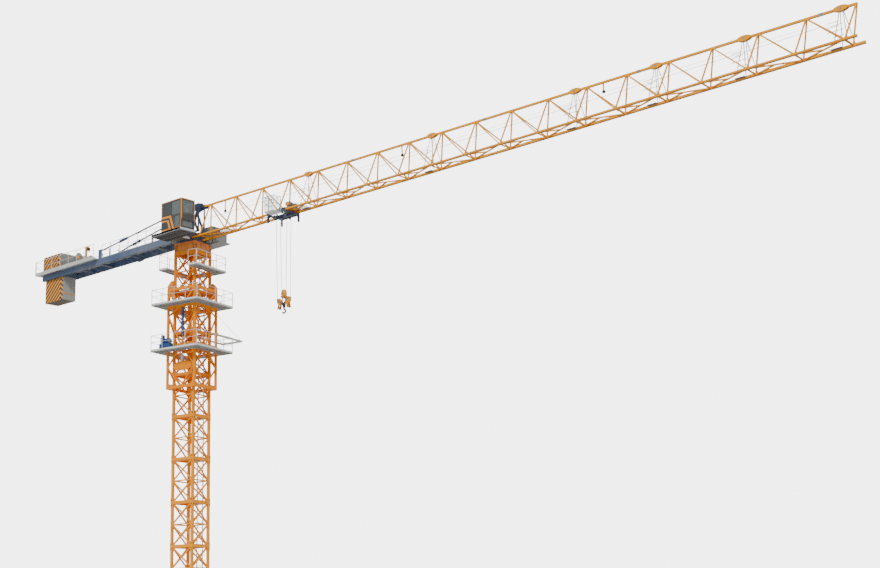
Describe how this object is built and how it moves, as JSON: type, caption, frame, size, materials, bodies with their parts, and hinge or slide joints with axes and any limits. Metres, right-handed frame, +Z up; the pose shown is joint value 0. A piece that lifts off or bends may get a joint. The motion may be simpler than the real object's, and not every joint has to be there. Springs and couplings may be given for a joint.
{
  "type": "tower crane, 1:2 scale model",
  "caption": "Flat-top tower crane at half size: lattice mast with climbing cage, slewing jib and counter-jib, cab, trolley and hook block.",
  "frame": {"origin": "centre of the base frame's underside, on the slewing axis", "axes": "+X along the jib away from the mast, +Z up, the cab on the -Y side"},
  "size_m": [31.6002, 3.6051, 14.845],
  "materials": {
    "tower_orange": "satin paint",
    "galvanised_grey": "dull zinc",
    "hydraulic_blue": "satin paint",
    "bright_rod": "polished",
    "navy_paint": "satin paint",
    "jib_amber": "satin paint",
    "cab_grey": "satin paint",
    "cab_glass": "tinted",
    "cabinet_grey": "satin paint",
    "concrete": "cast concrete",
    "machine_grey": "satin paint",
    "block_orange": "satin paint",
    "wire_rope": "bare wire",
    "forged_black": "forged"
  },
  "bodies": {
    "mast": {"base_frame": "tower_orange", "mast_front": "tower_orange", "mast_right": "tower_orange", "mast_back": "tower_orange", "mast_left": "tower_orange", "mast_ladder": "galvanised_grey", "landings": "tower_orange", "slewing_seat": "tower_orange", "mast_platform": "galvanised_grey", "mast_platform_rails": "galvanised_grey", "jack_rod": "bright_rod", "jack_yoke": "tower_orange"},
    "climbing_cage": {"cage_front": "tower_orange", "cage_right": "tower_orange", "cage_back": "tower_orange", "cage_left": "tower_orange", "jack_barrel": "hydraulic_blue", "upper_platform": "galvanised_grey", "upper_platform_rails": "galvanised_grey", "lower_platform": "galvanised_grey", "lower_platform_rails": "galvanised_grey", "power_pack": "hydraulic_blue", "loading_rails": "galvanised_grey"},
    "upper_works": {"turntable": "navy_paint", "tower_head": "navy_paint", "stays": "navy_paint", "trolley_winch": "machine_grey", "cab_shell": "cab_grey", "cab_windows": "cab_glass", "cab_balcony": "galvanised_grey", "switch_cabinets": "cabinet_grey", "jib_top_chord": "jib_amber", "jib_near_side": "jib_amber", "jib_far_side": "jib_amber", "jib_bottom": "jib_amber", "counter_jib_frame": "navy_paint", "counter_jib_deck": "galvanised_grey", "counter_jib_rails": "galvanised_grey", "counterweight": "concrete", "hoist_winch": "machine_grey"},
    "trolley": {"trolley_frame": "navy_paint", "trolley_basket": "galvanised_grey"},
    "hook_block": {"hook_block": "block_orange", "hoist_ropes": "wire_rope"},
    "hook": {"hook": "forged_black"}
  },
  "joints": [
    {"name": "cage_climb", "type": "slide", "parent": "mast", "child": "climbing_cage", "axis": [0, 0, 1], "range_m": [-0.5, 0.25]},
    {"name": "slewing", "type": "hinge", "parent": "mast", "child": "upper_works", "pos_m": [0, 0, 13.5], "axis": [0, 0, 1], "continuous": true},
    {"name": "trolley_travel", "type": "slide", "parent": "upper_works", "child": "trolley", "axis": [1, 0, 0], "range_m": [-1.95, 18]},
    {"name": "hoist", "type": "slide", "parent": "trolley", "child": "hook_block", "axis": [0, 0, 1], "range_m": [-10, 2], "deforming": ["hoist_ropes"]},
    {"name": "hook_swivel", "type": "hinge", "parent": "hook_block", "child": "hook", "pos_m": [4.33, 0, 10.64], "axis": [0, 0, 1], "continuous": true}
  ]
}
